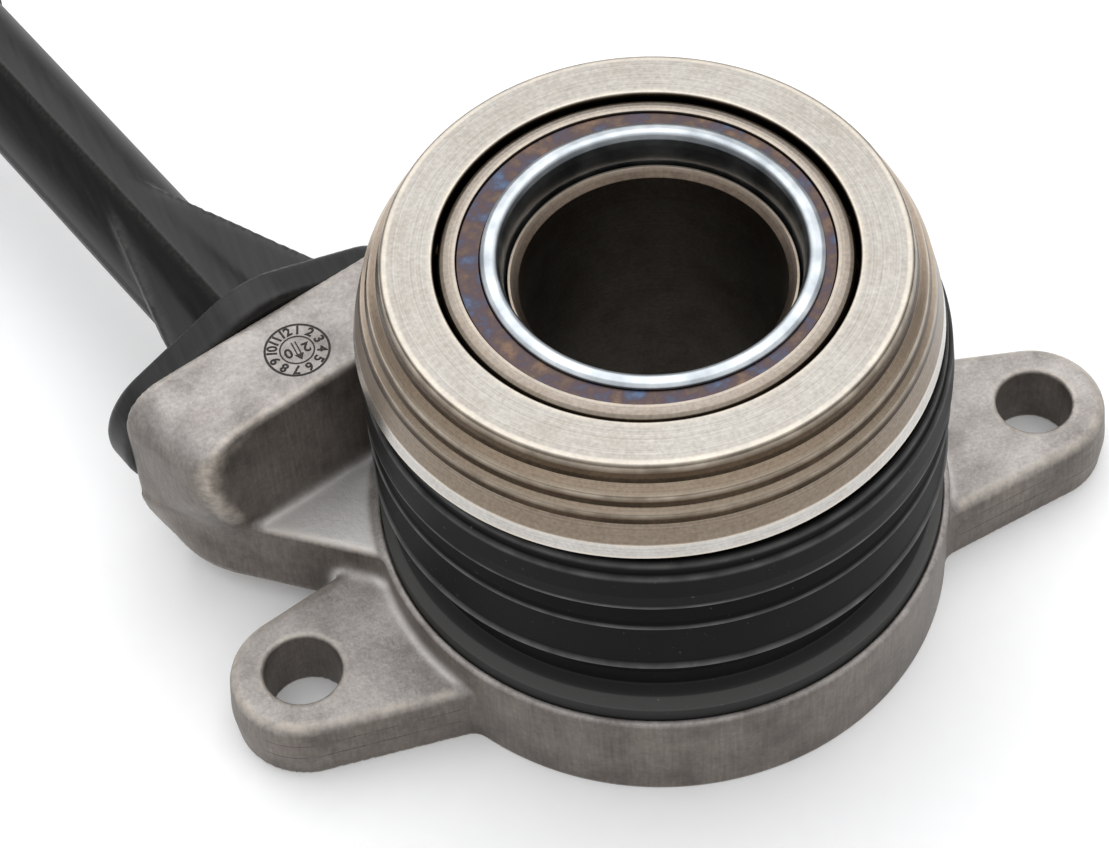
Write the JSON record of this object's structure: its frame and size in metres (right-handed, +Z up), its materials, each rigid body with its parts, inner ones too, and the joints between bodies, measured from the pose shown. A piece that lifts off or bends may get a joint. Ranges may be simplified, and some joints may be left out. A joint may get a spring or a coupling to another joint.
{
  "type": "concentric slave cylinder",
  "caption": "Hydraulic clutch release cylinder that sits round a gearbox shaft: cast base with bolt ears, side port and pipe, rubber boot and self-centring release bearing.",
  "frame": {"origin": "on the bore axis, in the plane of the base face that bolts to the gearbox", "axes": "+Z up the bore towards the thrust face; +X through the line of the two side mounting holes; the pipe leaves at 105 degrees from +X"},
  "size_m": [0.1126, 0.138, 0.0523],
  "materials": {
    "cast_aluminium": "as-cast, worn edges",
    "tube_steel": "drawn steel, warm oxide",
    "seal_rubber": "moulded rubber",
    "ball_steel": "polished ball steel",
    "pipe_plastic": "glass-filled polyamide, semi-gloss",
    "screw_steel": "zinc plated",
    "sheet_steel": "plain sheet",
    "boot_rubber": "matt moulded rubber",
    "spring_steel": "oil tempered wire",
    "piston_plastic": "moulded phenolic",
    "ptfe": "plain bearing plastic",
    "zinc_sheet": "bright zinc plated sheet steel",
    "tempered_steel": "purple brown temper colour",
    "inner_steel": "pressed bearing steel, bronze tint",
    "outer_steel": "ground face and turned band",
    "shield_rubber": "moulded rubber on sheet",
    "cage_plastic": "glass-filled polyamide"
  },
  "bodies": {
    "housing_body": {"housing": "cast_aluminium", "guide_tube": "tube_steel", "tube_foot_seal": "seal_rubber", "gallery_plug": "ball_steel", "pipe_adaptor": "pipe_plastic", "port_seal": "seal_rubber", "pipe_end_seal": "seal_rubber", "flange_screws": "screw_steel", "boot_retainer": "sheet_steel", "dust_boot": "boot_rubber", "preload_spring": "spring_steel", "stop_ring": "spring_steel"},
    "piston_body": {"piston": "piston_plastic", "piston_seal": "seal_rubber", "seal_backing_ring": "ptfe", "bearing_carrier": "zinc_sheet"},
    "float_body": {"slip_washer": "ptfe"},
    "inner_body": {"bearing_inner_ring": "inner_steel", "centring_washer": "tempered_steel"},
    "outer_body": {"bearing_outer_ring": "outer_steel", "bearing_shield": "shield_rubber"},
    "cage_body": {"ball_cage": "cage_plastic", "bearing_balls": "ball_steel"}
  },
  "joints": [
    {"name": "piston_slide", "type": "slide", "parent": "housing_body", "child": "piston_body", "axis": [0, 0, 1], "range_m": [-0.008, 0], "stiffness_N_per_m": 2000, "springref_m": 0.02, "deforming": ["dust_boot", "preload_spring"]},
    {"name": "float_x", "type": "slide", "parent": "piston_body", "child": "float_body", "axis": [1, 0, 0], "range_m": [-0.00004, 0.00126]},
    {"name": "float_y", "type": "slide", "parent": "float_body", "child": "inner_body", "axis": [0, 1, 0], "range_m": [-0.0009, 0.0004]},
    {"name": "bearing_spin", "type": "hinge", "parent": "inner_body", "child": "outer_body", "pos_m": [-0.00061, 0.00025, 0.0464], "axis": [0, 0, 1], "continuous": true},
    {"name": "cage_spin", "type": "hinge", "parent": "inner_body", "child": "cage_body", "pos_m": [-0.00061, 0.00025, 0.0464], "axis": [0, 0, 1], "continuous": true}
  ],
  "couplings": [
    {"joint": "cage_spin", "follows": "bearing_spin", "ratio": 0.535}
  ]
}
